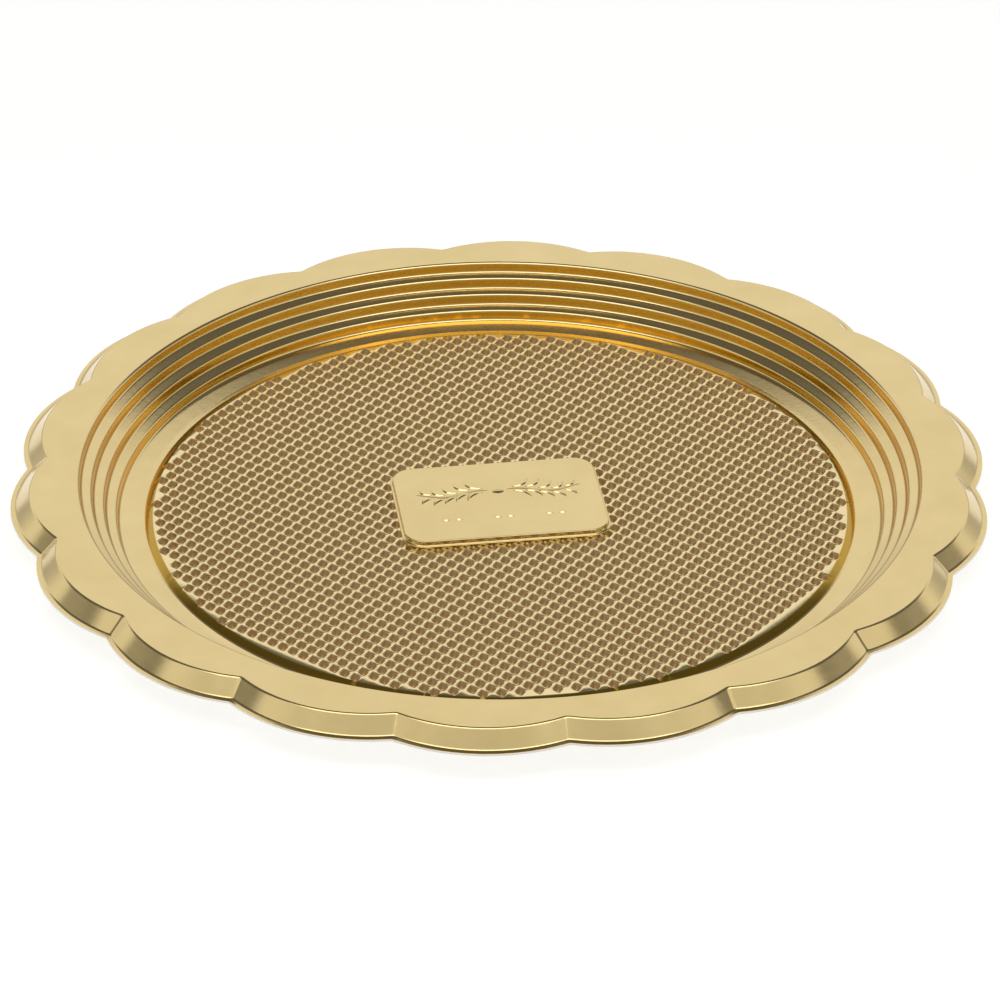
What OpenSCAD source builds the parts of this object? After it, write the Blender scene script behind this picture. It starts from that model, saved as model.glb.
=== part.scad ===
// Round scalloped cake tray, thermoformed from a plastic sheet with a gold metallised film on its top face.
// Frame: millimetres, +Z up, origin under the middle of the tray on the plane it stands on, plaque along X.

/* [Overall] */
// Diameter over the tips of the scallops
overall_diameter = 300; // [250:1:360]
// Height of the flat rim above the table
overall_height = 16.6; // [13.8:0.1:20]

/* [Sheet] */
// Thickness of the formed plastic sheet
sheet_thickness = 0.7; // [0.4:0.05:0.8]
// Thickness of the gold film bonded to its top
film_thickness = 0.1; // [0.08:0.01:0.2]

/* [Scalloped edge] */
// Number of scallops round the edge
scallop_count = 18; // [12:1:24]
// How far the notches between scallops cut into the flat rim
scallop_depth = 4.8; // [2:0.1:6]
// How far the skirt flares out beyond the rim
skirt_flare = 4.6; // [3:0.1:7]
// How far the skirt drops below the rim
skirt_drop = 4.8; // [3:0.1:7]
// Width of the flat trim lip at the foot of the skirt
lip_width = 1.4; // [1:0.1:3]
// Radius that rounds the notches
notch_radius = 2.5; // [1:0.1:4]

/* [Rim and wall] */
// Width of the flat rim from the notches to the edge of the dish
rim_width = 10.3; // [9:0.1:14]
// Number of steps in the wall
step_count = 4; // [2:1:5]
// Inward run of one riser
riser_run = 0.6; // [0.4:0.1:1.4]
// Inward run of one tread
tread_run = 3.1; // [2.4:0.1:3.6]
// Fall of one tread towards the middle
tread_fall = 0.9; // [0.6:0.05:1.2]
// Inward run of the plain band between the last riser and the standing ring
band_run = 5.8; // [4:0.1:8]
// Fall of the plain band towards the standing ring
band_rise = 0.9; // [0.6:0.05:1.4]
// Radius of the bends in the wall
bend_radius = 1; // [0.85:0.05:1.1]

/* [Floor] */
// Run of the slope from the raised floor down to the standing ring
floor_slope_run = 2.6; // [2.2:0.1:4]
// Rise of the floor above the standing ring
floor_rise = 1.4; // [1:0.1:2]
// Width of the flat ring the tray stands on
ring_width = 2; // [1:0.1:3]

/* [Plaque] */
// Length of the raised plaque, along X
plaque_length = 63; // [40:0.5:80]
// Width of the raised plaque
plaque_width = 43.6; // [30:0.5:60]
// Corner radius of the plaque
plaque_corner = 6.5; // [3:0.5:12]
// Height of the plaque above the floor
plaque_rise = 2.2; // [1:0.1:3]
// Width of the small ledge round the plaque's foot
plaque_ledge = 0.7; // [0.3:0.1:1.5]

/* [Hidden] */
$fn = 240;

shell = sheet_thickness + film_thickness;
floor_z = shell + floor_rise;
riser_drop = (overall_height - shell - band_rise - (step_count - 1) * tread_fall) / step_count;
half_pitch = 180 / scallop_count;

// Scallops are arcs: tip and notch radii of the rim give the arc's centre and radius.
rim_tip = overall_diameter / 2 - lip_width - skirt_flare;
rim_notch = rim_tip - scallop_depth;
arc_centre = (rim_tip * rim_tip - rim_notch * rim_notch) / (2 * (rim_tip - rim_notch * cos(half_pitch)));
arc_radius = rim_tip - arc_centre;
rim_radius = rim_notch - rim_width;
seam_radius = rim_notch - rim_width / 2;
overlap = 2;

function right_normal(a, b) = [b[1] - a[1], a[0] - b[0]] / norm(b - a);
function miter(a, p, b) = let (m = right_normal(a, p), n = right_normal(p, b)) (m + n) / (1 + m * n);

// Path moved sideways by d, to the right of its travel.
function moved(path, d) = let (last = len(path) - 1) [
  for (i = [0:last]) path[i] + d * (i == 0 ? right_normal(path[0], path[1])
    : i == last ? right_normal(path[last - 1], path[last]) : miter(path[i - 1], path[i], path[i + 1]))
];

// One corner rounded with radius r, as the points of an arc.
function bend(a, p, b, r, n) = let (
  u = (p - a) / norm(p - a), v = (b - p) / norm(b - p), turn = acos(max(-1, min(1, u * v))),
  side = sign(u[0] * v[1] - u[1] * v[0]), reach = r * tan(turn / 2),
  start = p - u * reach, middle = start + side * r * [-u[1], u[0]]
) [for (i = [0:n]) let (w = side * turn * i / n, q = start - middle)
  middle + [q[0] * cos(w) - q[1] * sin(w), q[0] * sin(w) + q[1] * cos(w)]];

function rounded(path, r, n) = [
  path[0], for (i = [1:len(path) - 2]) each bend(path[i - 1], path[i], path[i + 1], r, n), path[len(path) - 1]
];

// Wall corners from the rim down, without the rim edge itself: foot of each riser, then end of its tread.
rim_edge = [rim_radius, overall_height];
step = [riser_run + tread_run, riser_drop + tread_fall];
function riser_foot(i) = rim_edge - i * step - [riser_run, riser_drop];
wall_foot = riser_foot(step_count - 1);
ring_outer = [wall_foot[0] - band_run, shell];
ring_inner = ring_outer - [ring_width, 0];
floor_radius = ring_inner[0] - floor_slope_run;
wall_down = [for (i = [0:step_count - 2]) each [riser_foot(i), rim_edge - (i + 1) * step], wall_foot];
wall_up = [for (i = [len(wall_down) - 1:-1:0]) wall_down[i]];

// Upper surface from the middle of the floor out to the flat rim.
dish_path = rounded(concat([[0, floor_z], [floor_radius, floor_z], ring_inner, ring_outer], wall_up,
  [rim_edge, [seam_radius, overall_height]]), bend_radius, 3);

// Section across the edge: distance outside the rim's outline, and height. It starts inside, on the flat rim.
lip_z = overall_height - skirt_drop;
edge_path = rounded([[-2 * bend_radius, overall_height], [0, overall_height], [skirt_flare, lip_z],
  [skirt_flare + lip_width, lip_z]], bend_radius, 1);

// An outline at distance d outside the rim's: arcs round the scallops' centres, joined by rounded notches.
notch_dir = [cos(half_pitch), sin(half_pitch)];
function notch_centre(d) = notch_dir * (arc_centre * notch_dir[0]
  + sqrt(pow(arc_radius + d + notch_radius, 2) - pow(arc_centre * notch_dir[1], 2)));
function notch_angle(d) = let (c = notch_centre(d)) atan2(c[1], c[0] - arc_centre);
arc_steps = 4;
arc_limit = 0.9 * notch_angle(skirt_flare + lip_width);
function outline_angles(d) = [
  -notch_angle(d), for (k = [-arc_steps:arc_steps]) arc_limit * k / arc_steps, notch_angle(d)
];
function one_scallop(d) = concat(
  [for (a = outline_angles(d)) [arc_centre, 0] + (arc_radius + d) * [cos(a), sin(a)]],
  [notch_centre(d) - notch_radius * notch_dir]
);
function turned(p, a) = [p[0] * cos(a) - p[1] * sin(a), p[0] * sin(a) + p[1] * cos(a)];
function outline(d) = [for (i = [0:scallop_count - 1]) each [for (p = one_scallop(d)) turned(p, 2 * half_pitch * i)]];
seam_outline = [for (p = outline(0)) (seam_radius - overlap) * p / norm(p)];

module dish_layer(over, under) {
  lower = moved(dish_path, under);
  rotate_extrude() polygon(concat(moved(dish_path, over), [for (i = [len(lower) - 1:-1:0]) lower[i]]));
}

// The skirt and lip as a closed band; its inner edge lies in the flat rim of the dish layer.
module edge_layer(over, under) {
  upper = moved(edge_path, over);
  lower = moved(edge_path, under);
  last = len(edge_path) - 1;
  section = concat(upper, [for (i = [last:-1:0]) lower[i]]);
  rings = [for (q = section) [for (p = q[0] < -bend_radius ? seam_outline : outline(q[0])) [p[0], p[1], q[1]]]];
  n = len(seam_outline);
  m = len(section);
  polyhedron(points = [for (r = rings) each r],
    faces = [for (k = [0:m - 1], i = [0:n - 1]) let (j = (i + 1) % n, l = (k + 1) % m)
      [k * n + i, k * n + j, l * n + j, l * n + i]]);
}

// Outline of a rounded rectangle, each corner an arc of short chords.
module rounded_block(inset, low, high) {
  l = plaque_length / 2 - inset;
  w = plaque_width / 2 - inset;
  r = plaque_corner - inset;
  translate([0, 0, low]) linear_extrude(height = high - low)
    polygon([for (q = [0:3], k = [0:8]) let (a = 90 * q + 90 * k / 8, x = q == 0 || q == 3 ? 1 : -1, y = q < 2 ? 1 : -1)
      [x * (l - r) + r * cos(a), y * (w - r) + r * sin(a)]]);
}

// The plaque as a solid standing on the floor, with its ledge, shrunk by d all round and on top.
module plaque_body(d, low) {
  rounded_block(d - plaque_ledge, low, floor_z + plaque_rise * 0.35 - d);
  rounded_block(d, low, floor_z + plaque_rise - d);
}

module layer(over, under) {
  difference() {
    union() {
      difference() {
        dish_layer(over, under);
        rounded_block(over - plaque_ledge, -1, overall_height);
      }
      plaque_body(over, floor_z - under);
    }
    plaque_body(under, -1);
  }
  edge_layer(over, under);
}

module base_sheet() {
  color([0.93, 0.92, 0.88]) layer(film_thickness, shell);
}

module gold_film() {
  color([0.84, 0.68, 0.35]) layer(0, film_thickness);
}

base_sheet();
gold_film();
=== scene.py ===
import math

import bpy
import numpy as np
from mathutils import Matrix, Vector


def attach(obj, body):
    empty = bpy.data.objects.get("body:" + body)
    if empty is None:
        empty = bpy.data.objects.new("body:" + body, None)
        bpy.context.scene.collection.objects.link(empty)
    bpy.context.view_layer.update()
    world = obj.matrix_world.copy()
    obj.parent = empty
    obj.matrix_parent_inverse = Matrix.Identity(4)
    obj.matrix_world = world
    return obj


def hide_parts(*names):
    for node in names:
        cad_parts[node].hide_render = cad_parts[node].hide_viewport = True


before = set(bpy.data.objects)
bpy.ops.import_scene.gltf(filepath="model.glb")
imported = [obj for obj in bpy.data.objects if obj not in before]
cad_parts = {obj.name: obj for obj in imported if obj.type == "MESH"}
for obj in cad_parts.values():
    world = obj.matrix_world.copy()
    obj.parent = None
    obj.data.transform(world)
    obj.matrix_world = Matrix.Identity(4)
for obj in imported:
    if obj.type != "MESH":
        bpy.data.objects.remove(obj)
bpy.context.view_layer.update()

MM = 0.001

# ---------------------------------------------------------------- sizes, as in the CAD source (mm)
HEIGHT = 16.6
FILM = 0.1
SHELL = 0.8
SCALLOPS = 18
RIM_TIP = 144.0
RIM_NOTCH = 139.2
FLARE = 4.6
DROP = 4.8
LIP = 1.4
RIM_WIDTH = 10.3
STEPS = 4
RISER_RUN = 0.6
TREAD_RUN = 3.1
TREAD_FALL = 0.9
BAND_RUN = 5.8
BAND_RISE = 0.9
RING = 2.0
SLOPE_RUN = 2.6
FLOOR_RISE = 1.4
PLAQUE = (63.0, 43.6)
PLAQUE_CORNER = 6.5
PLAQUE_RISE = 2.2
LEDGE = 0.7
LEDGE_SHARE = 0.35
NOTCH_RADIUS = 2.5
BEND = 1.0
PLAQUE_BEND = 0.3
CREASE_ANGLE = 38

# Waffle relief: square cells turned 45 degrees, taller diamond pits with small flat bottoms
CELL_DIAGONAL = 5.5
PITCH = CELL_DIAGONAL / math.sqrt(2)
LATTICE_SHIFT = 1.05
PIT_SQUARENESS = 1.3
PIT_POINTS = 12

# Heights at which the blocks that booleans use up begin, all below the tray
UPPER_BLOCK_Z = -5
CONE_BLOCK_Z = -6
LOWER_BLOCK_Z = -7

HALF_PITCH = math.pi / SCALLOPS
ARC_CENTRE = (RIM_TIP**2 - RIM_NOTCH**2) / (2 * (RIM_TIP - RIM_NOTCH * math.cos(HALF_PITCH)))
ARC_RADIUS = RIM_TIP - ARC_CENTRE
SEAM = RIM_NOTCH - RIM_WIDTH / 2
RISER_DROP = (HEIGHT - SHELL - BAND_RISE - (STEPS - 1) * TREAD_FALL) / STEPS
RIM_RADIUS = RIM_NOTCH - RIM_WIDTH
LIP_Z = HEIGHT - DROP
RING_INNER = RIM_RADIUS - STEPS * RISER_RUN - (STEPS - 1) * TREAD_RUN - BAND_RUN - RING
FLOOR_RADIUS = RING_INNER - SLOPE_RUN
FLOOR_Z = SHELL + FLOOR_RISE
PITS_WITHIN = FLOOR_RADIUS - 0.8


# ---------------------------------------------------------------- plane geometry
def unit(v):
    return v / np.linalg.norm(v)


def right_normal(a, b):
    d = unit(b - a)
    return np.array([d[1], -d[0]])


def moved(path, distance):
    """Path moved sideways to the right of its travel, with mitred corners."""
    out = []
    for i, p in enumerate(path):
        m = right_normal(path[i - 1], p) if i else None
        n = right_normal(p, path[i + 1]) if i + 1 < len(path) else None
        side = n if m is None else m if n is None else (m + n) / (1 + m @ n)
        out.append(p + distance * side)
    return out


def rounded(path, radius, steps, guard=0.0):
    """Path with its inner corners rounded; guard adds a point that far before and after each bend."""
    out = [path[0]]
    for i in range(1, len(path) - 1):
        a, p, b = path[i - 1], path[i], path[i + 1]
        u, v = unit(p - a), unit(b - p)
        turn = math.acos(np.clip(u @ v, -1, 1))
        side = np.sign(u[0] * v[1] - u[1] * v[0])
        reach = radius * math.tan(turn / 2)
        start = p - u * reach
        middle = start + side * radius * np.array([-u[1], u[0]])
        if guard:
            out.append(start - u * guard)
        for k in range(steps + 1):
            w = side * turn * k / steps
            q = start - middle
            out.append(middle + np.array([q[0] * math.cos(w) - q[1] * math.sin(w),
                                          q[0] * math.sin(w) + q[1] * math.cos(w)]))
        if guard:
            out.append(p + v * (reach + guard))
    return out + [path[-1]]


def points(*pairs):
    return [np.array(p, float) for p in pairs]


# ---------------------------------------------------------------- outlines seen from above
def circle(radius, count=400):
    a = np.arange(count) * 2 * math.pi / count
    return radius * np.column_stack([np.cos(a), np.sin(a)])


def scallops(d, arc_steps=30, notch_steps=7):
    """Outline at distance d outside the rim's: arcs joined by rounded notches."""
    h, c, r, rho = HALF_PITCH, ARC_CENTRE, ARC_RADIUS + d, NOTCH_RADIUS

    def tangent(radius):
        q = c * math.cos(h) + math.sqrt((radius + rho) ** 2 - (c * math.sin(h)) ** 2)
        centre = q * np.array([math.cos(h), math.sin(h)])
        return centre, math.atan2(centre[1], centre[0] - c)

    centre, end = tangent(r)
    limit = 0.95 * tangent(ARC_RADIUS + FLARE + LIP)[1]
    a = np.concatenate([[-end], limit * np.linspace(-1, 1, arc_steps + 1), [end]])
    arc = np.column_stack([c + r * np.cos(a), r * np.sin(a)])
    b = np.linspace(end + math.pi, 2 * h - end + math.pi, notch_steps + 1)[1:-1]
    notch = centre + rho * np.column_stack([np.cos(b), np.sin(b)])
    one = np.vstack([arc, notch])
    turns = [2 * h * i for i in range(SCALLOPS)]
    rotations = [np.array([[math.cos(t), math.sin(t)], [-math.sin(t), math.cos(t)]]) for t in turns]
    return np.vstack([one @ rotation for rotation in rotations])


def seam_ring():
    line = scallops(0)
    return SEAM * line / np.linalg.norm(line, axis=1)[:, None]


def rounded_rectangle(inset, corner_steps=10, side_steps=6):
    l, w, r = PLAQUE[0] / 2 - inset, PLAQUE[1] / 2 - inset, PLAQUE_CORNER - inset
    corners = []
    for q, (sx, sy) in enumerate([(1, 1), (-1, 1), (-1, -1), (1, -1)]):
        a = math.pi / 2 * (q + np.linspace(0, 1, corner_steps + 1))
        corners.append(np.column_stack([sx * (l - r) + r * np.cos(a), sy * (w - r) + r * np.sin(a)]))
    out = []
    for q in range(4):
        out.append(corners[q])
        start, end = corners[q][-1], corners[(q + 1) % 4][0]
        t = np.linspace(0, 1, side_steps + 1)[1:-1, None]
        out.append(start + (end - start) * t)
    return np.vstack(out)


# ---------------------------------------------------------------- meshes as (vertices, faces)
def stack(rings):
    """Vertices of outlines at their heights, all outlines with the same number of points."""
    return np.vstack([np.column_stack([line, np.full(len(line), z)]) for line, z in rings])


def strips(n, m, closed):
    """Quads between m rings of n points; closed joins the last ring to the first."""
    faces = []
    for k in range(m if closed else m - 1):
        low, high = k * n, (k + 1) % m * n
        faces += [(low + i, low + (i + 1) % n, high + (i + 1) % n, high + i) for i in range(n)]
    return faces


def band(rings):
    return stack(rings), strips(len(rings[0][0]), len(rings), True)


def cap(rings):
    """Rings from the inside of the underside out and back to the middle of the top, closed at both ends."""
    n, m = len(rings[0][0]), len(rings)
    faces = strips(n, m, False)
    return stack(rings), faces + [tuple(range(n))[::-1], tuple(range((m - 1) * n, m * n))]


def cell_ring(half_x, half_y):
    """Points round a pit, from 60 degrees on: a diamond with rounded corners and slightly bulging sides."""
    a = math.pi / 3 + np.arange(PIT_POINTS) * 2 * math.pi / PIT_POINTS
    c, s = np.cos(a), np.sin(a)
    power = 2 / PIT_SQUARENESS
    return np.column_stack([half_x * np.sign(c) * abs(c) ** power, half_y * np.sign(s) * abs(s) ** power])


def pit_faces(verts, rings, middle, c):
    """Adds one pit's points and returns its faces, from its cell's corners c down to its flat bottom."""
    first, faces = len(verts), []
    for ring in rings:
        verts += [(x, y, z) for (x, y), z in zip(ring[:, :2] + middle, ring[:, 2])]
    for q in range(4):
        a = first + 3 * q
        faces += [(c[q], a + 1, a), (c[q], a + 2, a + 1),
                  (c[q], c[(q + 1) % 4], first + (3 * q + 3) % PIT_POINTS, a + 2)]
    n = PIT_POINTS
    for k in range(len(rings) - 1):
        o = first + n * k
        faces += [(o + s, o + (s + 1) % n, o + n + (s + 1) % n, o + n + s) for s in range(n)]
    last = first + n * (len(rings) - 1)
    faces.append(tuple(last + s for s in range(n)))
    return faces


def waffle(third, profile, crest, low):
    """Closed block under a third of the waffle's surface. profile lists (half width in X, in Y, depth); crest
    is the ridges' depth and low the height of the block's flat underside."""
    reach = int((RING_INNER + 4) / PITCH) + 1
    turn = math.pi / 4
    axes = np.array([[math.cos(turn), math.sin(turn)], [-math.sin(turn), math.cos(turn)]])
    shift = np.array([0, LATTICE_SHIFT])
    rings = [np.column_stack([cell_ring(h, w), np.full(PIT_POINTS, FLOOR_Z - d)]) for h, w, d in profile]
    corner_id, verts, faces, edges = {}, [], [], {}

    def corner(i, j):
        if (i, j) not in corner_id:
            corner_id[i, j] = len(verts)
            x, y = (np.array([i, j]) * PITCH) @ axes + shift
            verts.append((x, y, FLOOR_Z - crest))
            verts.append((x, y, low))
        return corner_id[i, j]

    for i in range(-reach, reach):
        for j in range(-reach, reach):
            middle = (np.array([i + 0.5, j + 0.5]) * PITCH) @ axes + shift
            if np.hypot(*middle) > RING_INNER + 3 or not third[0] <= middle[0] < third[1]:
                continue
            c = [corner(i + 1, j + 1), corner(i, j + 1), corner(i, j), corner(i + 1, j)]
            faces.append(tuple(k + 1 for k in c[::-1]))
            if np.hypot(*middle) > PITS_WITHIN:
                faces.append(tuple(c))
            else:
                faces += pit_faces(verts, rings, middle, c)
            for q in range(4):
                edges[c[q], c[(q + 1) % 4]] = True
    for a, b in edges:
        if (b, a) not in edges:
            faces.append((a, a + 1, b + 1, b))
    return np.array(verts), faces


def cone_block(drop, run, end):
    """Closed block out to radius end under the floor's edge slope, drop lower and run further in; it stands
    clear above the crests."""
    slope = FLOOR_RISE / SLOPE_RUN
    edge = FLOOR_RADIUS - run - drop / slope
    top = FLOOR_Z + 1
    hub = 0.01
    rings = [(hub, CONE_BLOCK_Z), (end, CONE_BLOCK_Z), (end, FLOOR_Z - (end - edge) * slope),
             (edge - 1 / slope, top), (hub, top)]
    n = 400
    verts = stack([(circle(r, n), z) for r, z in rings])
    faces = strips(n, len(rings), False) + [tuple(range(n))[::-1], tuple(range(4 * n, 5 * n))]
    return verts, faces


# ---------------------------------------------------------------- objects
def plain(name, mesh_data):
    verts, faces = mesh_data
    mesh = bpy.data.meshes.new(name)
    mesh.from_pydata((np.asarray(verts) * MM).tolist(), [], faces)
    mesh.update()
    obj = bpy.data.objects.new(name, mesh)
    bpy.context.scene.collection.objects.link(obj)
    return obj


def combine(obj, other, operation):
    """Boolean with the manifold solver, applied; the other object is used up."""
    modifier = obj.modifiers.new("cut", "BOOLEAN")
    modifier.operation, modifier.solver, modifier.object = operation, "MANIFOLD", other
    graph = bpy.context.evaluated_depsgraph_get()
    mesh = bpy.data.meshes.new_from_object(obj.evaluated_get(graph))
    obj.modifiers.clear()
    old, obj.data = obj.data, mesh
    bpy.data.meshes.remove(old)
    bpy.data.objects.remove(other)
    return obj


def finish_piece(obj, layer):
    """Outward faces, smooth shading with sharp creases, material, body and node."""
    node, slot, material = LAYERS[layer]
    mesh = obj.data
    if sum_volume(mesh) < 0:
        mesh.flip_normals()
    mesh.shade_smooth()
    mesh.set_sharp_from_angle(angle=math.radians(CREASE_ANGLE))
    mesh.materials.clear()
    mesh.materials.append(material)
    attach(obj, "root")
    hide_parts(node)
    return obj


def sum_volume(mesh):
    """Six times the mesh's volume, negative when its faces point inwards."""
    mesh.calc_loop_triangles()
    co = np.empty(len(mesh.vertices) * 3)
    mesh.vertices.foreach_get("co", co)
    co = co.reshape(-1, 3)
    tri = np.empty(len(mesh.loop_triangles) * 3, int)
    mesh.loop_triangles.foreach_get("vertices", tri)
    a, b, c = (co[tri.reshape(-1, 3)[:, k]] for k in range(3))
    return float(np.einsum("ij,ij->i", a, np.cross(b, c)).sum())


# ---------------------------------------------------------------- materials
# Painted shade: darker colour for the waffle's pit walls, standing in for the shade and dark reflections inside
# the pits
PIT_PAINTED_SHADE = (0.45, 0.31, 0.15, 1)
# Painted highlight: a paler gold over the waffle floor's crests and pit bottoms, standing in for their brighter
# reflection
CREST_PAINTED_HIGHLIGHT_GOLD = (0.88, 0.72, 0.38, 1)
# Painted reflection: a deeper orange gold on the wall's steep risers, standing in for light bounced from gold to
# gold
RISER_PAINTED_REFLECTION_GOLD = (0.84, 0.50, 0.07, 1)
# Painted shade and painted reflection: a dark orange gold on the floor's edge slope, standing in for the slope
# lying in shade and reflecting the gold around it
SLOPE_PAINTED_SHADE_GOLD = (0.50, 0.30, 0.025, 1)


def ramp_between(tree, value, start, end):
    """0 where the value is start and 1 where it is end, both in millimetres."""
    node = tree.nodes.new("ShaderNodeMapRange")
    node.interpolation_type = "SMOOTHSTEP"
    node.inputs["From Min"].default_value = start * MM
    node.inputs["From Max"].default_value = end * MM
    tree.links.new(value, node.inputs["Value"])
    return node.outputs["Result"]


def product(tree, a, b):
    node = tree.nodes.new("ShaderNodeMath")
    node.operation = "MULTIPLY"
    tree.links.new(a, node.inputs[0])
    tree.links.new(b, node.inputs[1])
    return node.outputs[0]


def mixed(tree, factor, colour, other):
    """Colour socket blended towards a fixed colour."""
    node = tree.nodes.new("ShaderNodeMix")
    node.data_type = "RGBA"
    socket = {i.identifier: i for i in list(node.inputs) + list(node.outputs)}
    socket["B_Color"].default_value = other
    tree.links.new(factor, socket["Factor_Float"])
    tree.links.new(colour, socket["A_Color"])
    return socket["Result_Color"]


def nodes_of(material):
    material.use_nodes = True
    tree = material.node_tree
    tree.nodes.clear()
    return tree


def add(tree, kind, **values):
    node = tree.nodes.new(kind)
    for key, value in values.items():
        if hasattr(node, key):
            setattr(node, key, value)
        else:
            node.inputs[key.replace("_", " ")].default_value = value
    return node


def gold_film(name, painted_floor_light):
    """Gold lacquer over bright metal, with the faint waviness of a formed film and a deeper gold on the wall's
    steep risers as a painted reflection of gold in gold. The waffle's film gets paler crests and pit bottoms as
    a painted highlight, darker and duller pits with the darkness as painted shade, and a deep gold edge slope as
    painted shade and painted reflection."""
    material = bpy.data.materials.new(name)
    tree = nodes_of(material)
    link = tree.links.new
    out = add(tree, "ShaderNodeOutputMaterial")
    shader = add(tree, "ShaderNodeBsdfPrincipled", Metallic=1.0, Coat_Weight=0.3, Coat_Roughness=0.08)
    link(shader.outputs[0], out.inputs[0])
    place = add(tree, "ShaderNodeTexCoord")
    tint = add(tree, "ShaderNodeTexNoise", Scale=55.0, Detail=3.0)
    link(place.outputs["Object"], tint.inputs["Vector"])
    colour = add(tree, "ShaderNodeValToRGB")
    colour.color_ramp.elements[0].color = (0.74, 0.575, 0.26, 1)
    colour.color_ramp.elements[1].color = (0.79, 0.62, 0.295, 1)
    colour.color_ramp.elements[0].position, colour.color_ramp.elements[1].position = 0.3, 0.7
    link(tint.outputs["Fac"], colour.inputs["Fac"])
    surface = add(tree, "ShaderNodeNewGeometry")
    facing = add(tree, "ShaderNodeSeparateXYZ")
    link(surface.outputs["Normal"], facing.inputs[0])
    steep = ramp_between(tree, facing.outputs["Z"], 0.6 / MM, 0.3 / MM)
    flat = add(tree, "ShaderNodeVectorMath", operation="MULTIPLY")
    flat.inputs[1].default_value = (1, 1, 0)
    link(place.outputs["Object"], flat.inputs[0])
    radius = add(tree, "ShaderNodeVectorMath", operation="LENGTH")
    link(flat.outputs[0], radius.inputs[0])
    wall = ramp_between(tree, radius.outputs["Value"], RING_INNER, RING_INNER + 1)
    # Painted reflection: steep faces of the wall are tinted deeper gold
    tone = mixed(tree, product(tree, steep, wall), colour.outputs["Color"], RISER_PAINTED_REFLECTION_GOLD)
    if painted_floor_light:
        xyz = add(tree, "ShaderNodeSeparateXYZ")
        link(place.outputs["Object"], xyz.inputs[0])
        depth = ramp_between(tree, xyz.outputs["Z"], FLOOR_Z - 0.04, FLOOR_Z - 0.15)
        above = ramp_between(tree, xyz.outputs["Z"], FLOOR_Z - 1.46, FLOOR_Z - 1.36)
        inside = ramp_between(tree, radius.outputs["Value"], FLOOR_RADIUS + 0.2, FLOOR_RADIUS - 0.2)
        slope = ramp_between(tree, radius.outputs["Value"], FLOOR_RADIUS - 0.2, FLOOR_RADIUS + 0.2)
        hollow = product(tree, depth, inside)
        # Painted highlight: the floor inside the edge slope is paler gold
        tone = mixed(tree, inside, tone, CREST_PAINTED_HIGHLIGHT_GOLD)
        # Painted shade and painted reflection: the edge slope is dark orange gold
        tone = mixed(tree, slope, tone, SLOPE_PAINTED_SHADE_GOLD)
        # Painted shade: pit walls below the crests are darker; pit bottoms keep the paler painted highlight
        tone = mixed(tree, product(tree, hollow, above), tone, PIT_PAINTED_SHADE)
    link(tone, shader.inputs["Base Color"])
    haze = add(tree, "ShaderNodeTexNoise", Scale=140.0, Detail=2.0)
    link(place.outputs["Object"], haze.inputs["Vector"])
    rough = add(tree, "ShaderNodeMapRange")
    rough.inputs["To Min"].default_value, rough.inputs["To Max"].default_value = 0.14, 0.2
    link(haze.outputs["Fac"], rough.inputs["Value"])
    roughness = rough.outputs["Result"]
    if painted_floor_light:
        dull = add(tree, "ShaderNodeMath", operation="MULTIPLY_ADD")
        dull.inputs[1].default_value = 0.3
        link(hollow, dull.inputs[0])
        link(roughness, dull.inputs[2])
        roughness = dull.outputs[0]
    link(roughness, shader.inputs["Roughness"])
    ripple = add(tree, "ShaderNodeTexNoise", Scale=420.0, Detail=2.0)
    link(place.outputs["Object"], ripple.inputs["Vector"])
    bump = add(tree, "ShaderNodeBump", Strength=0.25, Distance=0.00006)
    link(ripple.outputs["Fac"], bump.inputs["Height"])
    link(bump.outputs["Normal"], shader.inputs["Normal"])
    return material


def base_plastic():
    """Off-white polystyrene, matt, with a fine moulded grain."""
    material = bpy.data.materials.new("base_plastic")
    tree = nodes_of(material)
    link = tree.links.new
    out = add(tree, "ShaderNodeOutputMaterial")
    shader = add(tree, "ShaderNodeBsdfPrincipled")
    link(shader.outputs[0], out.inputs[0])
    place = add(tree, "ShaderNodeTexCoord")
    tone = add(tree, "ShaderNodeTexNoise", Scale=70.0, Detail=4.0)
    link(place.outputs["Object"], tone.inputs["Vector"])
    colour = add(tree, "ShaderNodeValToRGB")
    colour.color_ramp.elements[0].color = (0.80, 0.78, 0.72, 1)
    colour.color_ramp.elements[1].color = (0.87, 0.86, 0.81, 1)
    link(tone.outputs["Fac"], colour.inputs["Fac"])
    link(colour.outputs["Color"], shader.inputs["Base Color"])
    rough = add(tree, "ShaderNodeMapRange")
    rough.inputs["To Min"].default_value, rough.inputs["To Max"].default_value = 0.42, 0.58
    link(tone.outputs["Fac"], rough.inputs["Value"])
    link(rough.outputs["Result"], shader.inputs["Roughness"])
    grain = add(tree, "ShaderNodeTexNoise", Scale=1800.0, Detail=2.0)
    link(place.outputs["Object"], grain.inputs["Vector"])
    bump = add(tree, "ShaderNodeBump", Strength=0.3, Distance=0.00005)
    link(grain.outputs["Fac"], bump.inputs["Height"])
    link(bump.outputs["Normal"], shader.inputs["Normal"])
    return material


LAYERS = {
    "film": ("gold_film", "gold_metallised", gold_film("gold_film", False)),
    "waffle": ("gold_film", "gold_metallised", gold_film("gold_film_waffle", True)),
    "sheet": ("base_sheet", "base_plastic", base_plastic()),
}

# ---------------------------------------------------------------- scalloped edge
edge_corners = points((-2.5, HEIGHT), (0, HEIGHT), (FLARE, LIP_Z), (FLARE + LIP, LIP_Z))


def edge_line(depth, steps, guard=0.0):
    line = moved(rounded(edge_corners, BEND, steps, guard), depth)
    return [(seam_ring(), line[0][1])] + [(scallops(p[0]), p[1]) for p in line]


def edge_piece(name, layer, over, under, over_steps, under_steps, guard=0.0):
    rings = edge_line(over, over_steps, guard) + edge_line(under, under_steps)[::-1]
    return finish_piece(plain(name, band(rings)), layer)


edge_piece("film_edge", "film", 0, FILM, 6, 2, 0.2)
edge_piece("sheet_edge", "sheet", FILM, SHELL, 2, 5)

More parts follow.
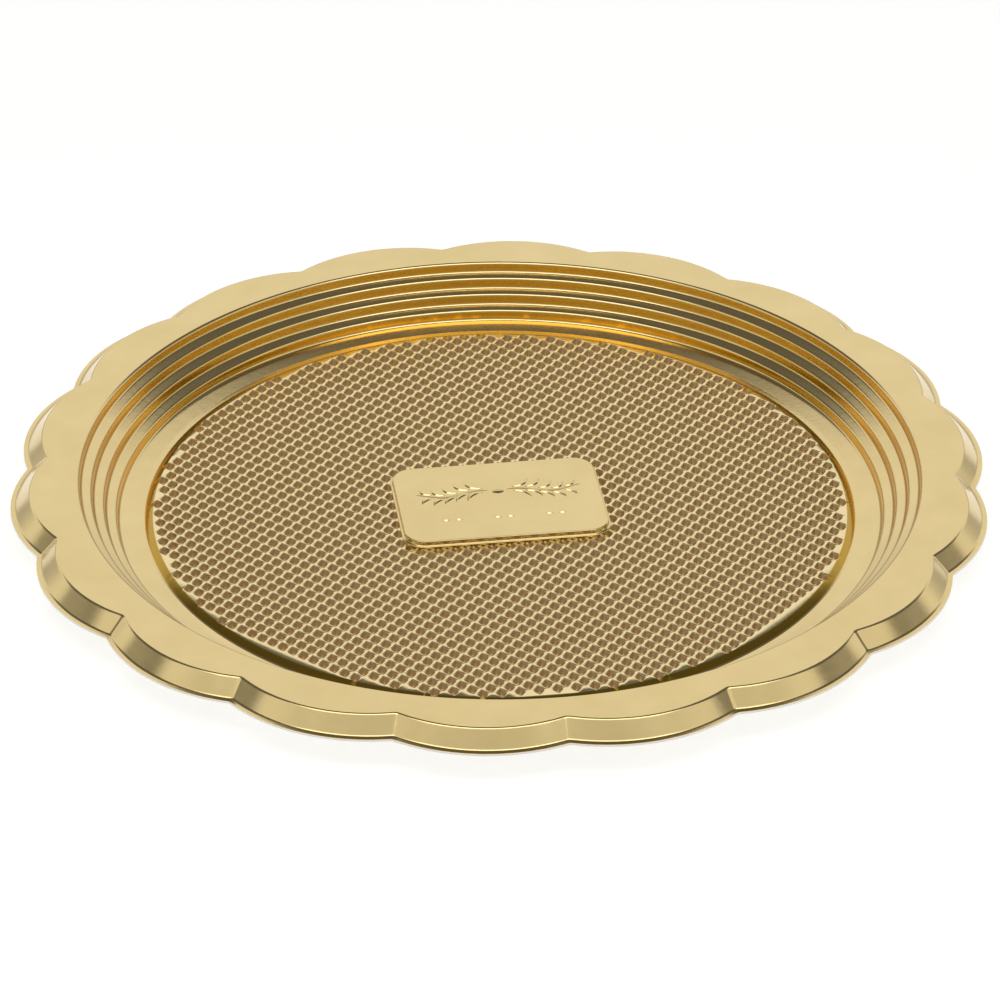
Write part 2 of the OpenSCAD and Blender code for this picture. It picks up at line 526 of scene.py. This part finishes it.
# ---------------------------------------------------------------- stepped wall, plain band and standing ring
rim_edge = np.array([RIM_RADIUS, HEIGHT])
step = np.array([RISER_RUN + TREAD_RUN, RISER_DROP + TREAD_FALL])
riser_foot = [rim_edge - i * step - np.array([RISER_RUN, RISER_DROP]) for i in range(STEPS)]
ring_outer = np.array([riser_foot[-1][0] - BAND_RUN, SHELL])
ring_inner = ring_outer - np.array([RING, 0])
SLOPE_END = RING_INNER - 0.4
slope_start = np.array([SLOPE_END, SHELL + 0.4 * FLOOR_RISE / SLOPE_RUN])
wall = [riser_foot[-1]]
for i in range(STEPS - 1, 0, -1):
    wall += [rim_edge - i * step, riser_foot[i - 1]]
dish_corners = [slope_start, ring_inner, ring_outer] + wall + [rim_edge, np.array([SEAM, HEIGHT])]


def dish_line(depth, steps, guard=0.0):
    return [(circle(p[0]), p[1]) for p in moved(rounded(dish_corners, BEND, steps, guard), depth)]


def dish_piece(name, layer, over, under, over_steps, under_steps, guard=0.0):
    rings = dish_line(over, over_steps, guard) + dish_line(under, under_steps)[::-1]
    return finish_piece(plain(name, band(rings)), layer)


dish_piece("film_dish", "film", 0, FILM, 6, 2, 0.12)
dish_piece("sheet_dish", "sheet", FILM, SHELL, 2, 4)

# ---------------------------------------------------------------- waffle floor
film_top = [(1.66, 2.34, 0.02), (1.58, 2.24, 0.08), (1.5, 2.13, 0.26), (0.68, 0.96, 1.38), (0.52, 0.76, 1.5)]
film_low = [(1.7, 2.38, 0.13), (0.88, 1.16, 1.62)]
sheet_low = [(1.9, 2.42, 0.86), (1.2, 1.6, 2.02)]
THIRDS = {"left": (-200, -37.2), "middle": (-37.2, 37.2), "right": (37.2, 200)}


def plaque_block(low=-8.0, high=40.0):
    line = rounded_rectangle(-LEDGE)
    return plain("plaque_block", cap([(line, low), (line, high)]))


def floor_piece(name, layer, third, over, under):
    upper = combine(plain(name, waffle(third, *over[:2], UPPER_BLOCK_Z)),
                    plain("cone", cone_block(*over[2:], SLOPE_END)), "INTERSECT")
    lower = combine(plain("lower", waffle(grown(third), *under[:2], LOWER_BLOCK_Z)),
                    plain("cone", cone_block(*under[2:], SLOPE_END + 1)), "INTERSECT")
    shell = combine(upper, lower, "DIFFERENCE")
    combine(shell, plaque_block(), "DIFFERENCE")
    return finish_piece(shell, layer)


def grown(third):
    return (third[0] - 4, third[1] + 4)


top_layer = (film_top, 0, 0, 0)
mid_layer = (film_low, FILM + 0.01, FILM, 0)
low_layer = (sheet_low, SHELL, SHELL, 0)
for side, third in THIRDS.items():
    floor_piece("film_floor_" + side, "waffle", third, top_layer, mid_layer)
    floor_piece("sheet_floor_" + side, "sheet", third, mid_layer, low_layer)

# ---------------------------------------------------------------- plaque
plaque_foot = FLOOR_Z - 1.6
ledge_z = FLOOR_Z + PLAQUE_RISE * LEDGE_SHARE
plaque_top = FLOOR_Z + PLAQUE_RISE
PLAQUE_DRAFT = 0.12
plaque_corners = points((-LEDGE, plaque_foot), (-LEDGE, ledge_z), (0.0, ledge_z), (PLAQUE_DRAFT, plaque_top),
                        (3, plaque_top))


def plaque_line(depth, steps, guard=0.0):
    line = rounded(plaque_corners, PLAQUE_BEND, steps, guard)
    return [(rounded_rectangle(p[0]), p[1]) for p in moved(line, depth)]


def plaque_piece(name, layer, over, under):
    rings = plaque_line(under, 3)[::-1] + plaque_line(over, 5, 0.05)
    return finish_piece(plain(name, cap(rings)), layer)


plaque_piece("film_plaque", "film", 0, FILM)
plaque_piece("sheet_plaque", "sheet", FILM, SHELL)

# Generic embossed ornament: two mirrored leafy branches with a diamond between them, small diamonds below
ORNAMENT_HEIGHT = 0.3


def stroke(line, width):
    """Closed tapering ridge along a plane line, sunk a little into the plaque's film."""
    line = np.asarray(line, float)
    count = len(line)
    along_line = np.gradient(line, axis=0)
    along_line /= np.linalg.norm(along_line, axis=1)[:, None]
    side = np.column_stack([-along_line[:, 1], along_line[:, 0]])
    swell = np.sin(math.pi * np.linspace(0, 1, count))[:, None]
    half = width * (0.25 + 0.75 * np.clip(swell, 0, 1) ** 0.8)
    low = np.full((count, 1), plaque_top - FILM / 2)
    high = plaque_top + ORNAMENT_HEIGHT * (0.4 + 0.6 * swell)
    rails = [(1, low), (0.45, high), (-0.45, high), (-1, low)]
    edges = [np.hstack([line + side * half * share, z]) for share, z in rails]
    verts = np.stack(edges, axis=1).reshape(-1, 3)
    faces = strips(4, count, False) + [(3, 2, 1, 0), tuple(4 * (count - 1) + k for k in range(4))]
    return verts, faces


def bent(start, end, bulge, count=24):
    """Points from start to end along an arc that bulges to the left of its travel."""
    start, end = np.array(start), np.array(end)
    t = np.linspace(0, 1, count)[:, None]
    d = end - start
    return start + d * t + np.array([-d[1], d[0]]) * bulge * 4 * t * (1 - t)


BRANCH_Y = 4.6
DIAMOND_ROW_Y = -10
DIAMOND_SIZE = 0.8


def stem_y(x):
    return BRANCH_Y + 1.3 * math.sin(math.pi * x / 11)


def ornament():
    """All strokes of the ornament as one mesh. Each is closed; some leaves overlap the stem or the next leaf."""
    lines = []
    for flip in (1, -1):
        mirror = np.array([flip, 1])
        stem = [(x, stem_y(x)) for x in np.linspace(2.8, 25.5, 60)]
        lines.append((np.array(stem) * mirror, 0.5))
        for k, x in enumerate(np.linspace(3.4, 19.4, 5)):
            size = 5.2 - 0.45 * k
            y = stem_y(x + 1.2)
            for up in (1, -1):
                tip = (x + 1.2 + size, y + up * (1.2 + 0.8 * size))
                lines.append((bent((x + 1.2, y + 1.2 * up), tip, -0.2 * up) * mirror, 0.8))
    row = [(x, DIAMOND_ROW_Y, DIAMOND_SIZE) for x in (-18, -14, -2, 2, 14, 18)]
    for x, y, w in [(0, BRANCH_Y, 1.3)] + row:
        lines.append((np.column_stack([np.linspace(-1.4 * w, 1.4 * w, 9) + x, np.full(9, y)]), w))
    verts, faces = [], []
    for line, width in lines:
        v, f = stroke(line, width)
        faces += [tuple(k + len(verts) for k in face) for face in f]
        verts += v.tolist()
    return verts, faces


finish_piece(plain("film_ornament", ornament()), "film")

# ---------------------------------------------------------------- camera at the photograph's angle
ELEVATION = math.radians(31.04)
YAW = math.radians(7.83)
DISTANCE = 1.552
aim = Vector((0, 0, HEIGHT * MM))
level = math.cos(ELEVATION)
back = Vector((-math.sin(YAW) * level, -math.cos(YAW) * level, math.sin(ELEVATION)))
camera = bpy.data.objects.new("camera", bpy.data.cameras.new("camera"))
bpy.context.scene.collection.objects.link(camera)
camera.location = aim + DISTANCE * back
camera.rotation_mode = "QUATERNION"
camera.rotation_quaternion = (-back).to_track_quat("-Z", "Y")
camera.data.lens = 182.2
camera.data.sensor_width = 36
camera.data.shift_y = -0.035
camera.data.clip_start, camera.data.clip_end = 0.05, 60
bpy.context.scene.camera = camera

# ---------------------------------------------------------------- floor and studio light
ground_mesh = bpy.data.meshes.new("ground")
ground_mesh.from_pydata([(-12, -12, 0), (12, -12, 0), (12, 12, 0), (-12, 12, 0)], [], [(0, 1, 2, 3)])
ground = bpy.data.objects.new("ground", ground_mesh)
bpy.context.scene.collection.objects.link(ground)
paper = bpy.data.materials.new("paper")
paper_tree = nodes_of(paper)
paper_out = add(paper_tree, "ShaderNodeOutputMaterial")
paper_shader = add(paper_tree, "ShaderNodeBsdfPrincipled", Base_Color=(0.92, 0.92, 0.92, 1), Roughness=0.9,
                   Emission_Color=(1, 1, 1, 1), Emission_Strength=0.38)
paper_tree.links.new(paper_shader.outputs[0], paper_out.inputs[0])
ground_mesh.materials.append(paper)

world = bpy.data.worlds.new("studio")
bpy.context.scene.world = world
world.use_nodes = True
sky = world.node_tree
sky.nodes.clear()
away = (math.sin(YAW), math.cos(YAW), 0)
direction = add(sky, "ShaderNodeTexCoord")


def along(axis):
    node = add(sky, "ShaderNodeVectorMath", operation="DOT_PRODUCT")
    node.inputs[1].default_value = axis
    sky.links.new(direction.outputs["Generated"], node.inputs[0])
    return node.outputs["Value"]


arc = add(sky, "ShaderNodeMath", operation="ARCTAN2")
sky.links.new(along((0, 0, 1)), arc.inputs[0])
sky.links.new(along(away), arc.inputs[1])
turn = add(sky, "ShaderNodeMath", operation="MULTIPLY")
turn.inputs[1].default_value = 1 / math.pi
sky.links.new(arc.outputs[0], turn.inputs[0])
ramp = add(sky, "ShaderNodeValToRGB")
sky.links.new(turn.outputs[0], ramp.inputs["Fac"])
# Brightness from the back horizon, over the top, to the camera-side horizon, by angle in degrees
STUDIO = [(0, 0.42), (14, 0.68), (24, 0.96), (38, 1.0), (43, 0.14), (90, 0.13), (97, 0.95), (110, 0.9),
          (118, 0.75), (134, 0.62), (150, 0.42), (180, 0.34)]
elements = ramp.color_ramp.elements
while len(elements) < len(STUDIO):
    elements.new(0.5)
for element, (angle, level) in zip(elements, STUDIO):
    element.position = angle / 180
    element.color = (level, level * 0.985, level * 0.96, 1)
across = add(sky, "ShaderNodeMath", operation="ABSOLUTE")
sky.links.new(along((math.cos(YAW), -math.sin(YAW), 0)), across.inputs[0])
sideways = add(sky, "ShaderNodeMapRange", interpolation_type="SMOOTHSTEP")
sideways.inputs["From Min"].default_value, sideways.inputs["From Max"].default_value = 0.8, 0.97
sky.links.new(across.outputs[0], sideways.inputs["Value"])
backdrop = mixed(sky, sideways.outputs["Result"], ramp.outputs["Color"], (0.72, 0.71, 0.69, 1))
rays = add(sky, "ShaderNodeLightPath")
backdrop = mixed(sky, rays.outputs["Is Camera Ray"], backdrop, (1, 1, 1, 1))
background = add(sky, "ShaderNodeBackground", Strength=1.0)
sky.links.new(backdrop, background.inputs["Color"])
sky_out = add(sky, "ShaderNodeOutputWorld")
sky.links.new(background.outputs[0], sky_out.inputs[0])

softbox = bpy.data.objects.new("softbox", bpy.data.lights.new("softbox", "AREA"))
bpy.context.scene.collection.objects.link(softbox)
softbox.data.shape, softbox.data.size, softbox.data.size_y = "RECTANGLE", 2.0, 0.9
softbox.data.energy = 8
overhead = math.radians(106)
softbox_dir = Vector((away[0] * math.cos(overhead), away[1] * math.cos(overhead), math.sin(overhead)))
softbox.location = aim + 1.7 * softbox_dir
softbox.rotation_mode = "QUATERNION"
softbox.rotation_quaternion = softbox_dir.to_track_quat("Z", "Y")

bpy.context.scene.view_settings.view_transform = "Standard"
